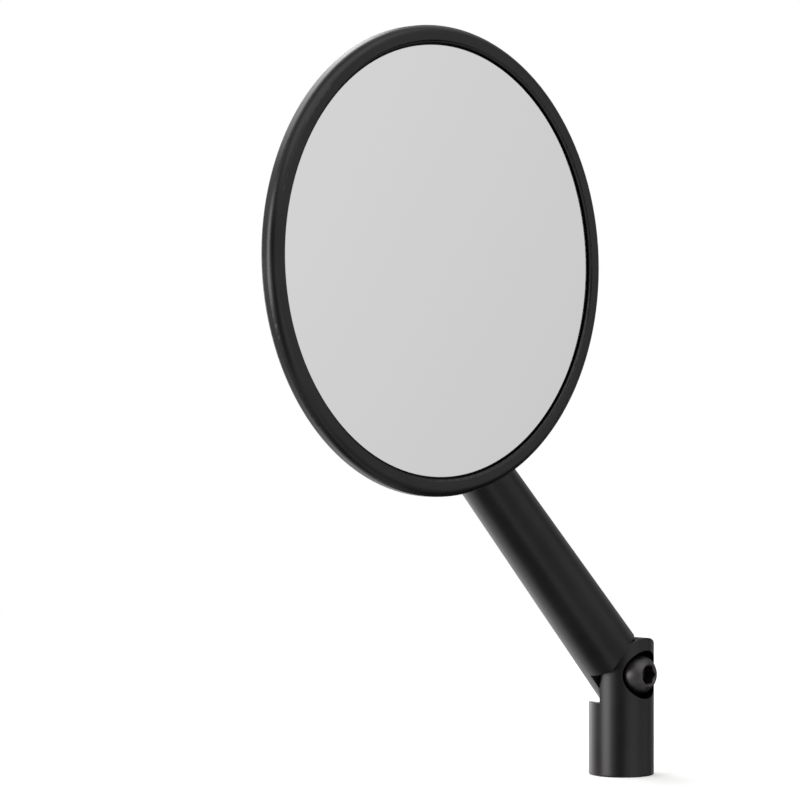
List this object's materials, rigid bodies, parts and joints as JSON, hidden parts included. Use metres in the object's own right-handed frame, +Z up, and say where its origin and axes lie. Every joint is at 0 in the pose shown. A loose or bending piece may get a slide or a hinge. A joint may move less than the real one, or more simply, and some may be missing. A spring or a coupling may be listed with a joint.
{
  "type": "motorcycle mirror",
  "caption": "Round convex rear-view mirror on a tapered round arm, with a folding lap hinge on its screw-on base and a clamped ball joint behind the head.",
  "frame": {"origin": "middle of the base's underside, on the axis of its stem thread", "axes": "+Z up the axis of the base, the glass faces -Y and the arm leans towards -X"},
  "size_m": [0.1589, 0.0425, 0.1762],
  "materials": {
    "black_anodised_aluminium": "satin black anodised",
    "black_oxide_steel": "black oxide",
    "spring_steel": "blued",
    "ground_steel": "ground and zinc plated",
    "black_rubber": "matt",
    "silvered_glass": "polished, silvered on the back",
    "adhesive_pad": "closed-cell foam",
    "acetal": "moulded"
  },
  "bodies": {
    "base": {"mount_base": "black_anodised_aluminium", "pivot_spring_washer": "spring_steel"},
    "arm": {"arm": "black_anodised_aluminium", "pivot_screw": "black_oxide_steel", "ball_stud": "ground_steel", "stud_lock_screw": "black_oxide_steel"},
    "front_seat": {"front_ball_seat": "acetal"},
    "rear_seat": {"rear_ball_seat": "acetal"},
    "head": {"head_housing": "black_anodised_aluminium", "glass_seal": "black_rubber", "mirror_glass": "silvered_glass", "glass_pad": "adhesive_pad", "ball_collar": "black_anodised_aluminium", "collar_screw_1": "black_oxide_steel", "collar_screw_2": "black_oxide_steel", "collar_screw_3": "black_oxide_steel"}
  },
  "joints": [
    {"name": "arm_hinge", "type": "hinge", "parent": "base", "child": "arm", "pos_m": [0, 0, 0.02535], "axis": [0, 1, 0], "range_deg": [-30, 120]},
    {"name": "head_spin", "type": "hinge", "parent": "arm", "child": "front_seat", "pos_m": [-0.0983, -0.0205, 0.12434], "axis": [0, 1, 0], "continuous": true},
    {"name": "head_nod", "type": "hinge", "parent": "front_seat", "child": "rear_seat", "pos_m": [-0.0983, -0.0205, 0.12434], "axis": [1, 0, 0], "range_deg": [-15, 15]},
    {"name": "head_pan", "type": "hinge", "parent": "rear_seat", "child": "head", "pos_m": [-0.0983, -0.0205, 0.12434], "axis": [0, 0, 1], "range_deg": [-15, 15]}
  ]
}
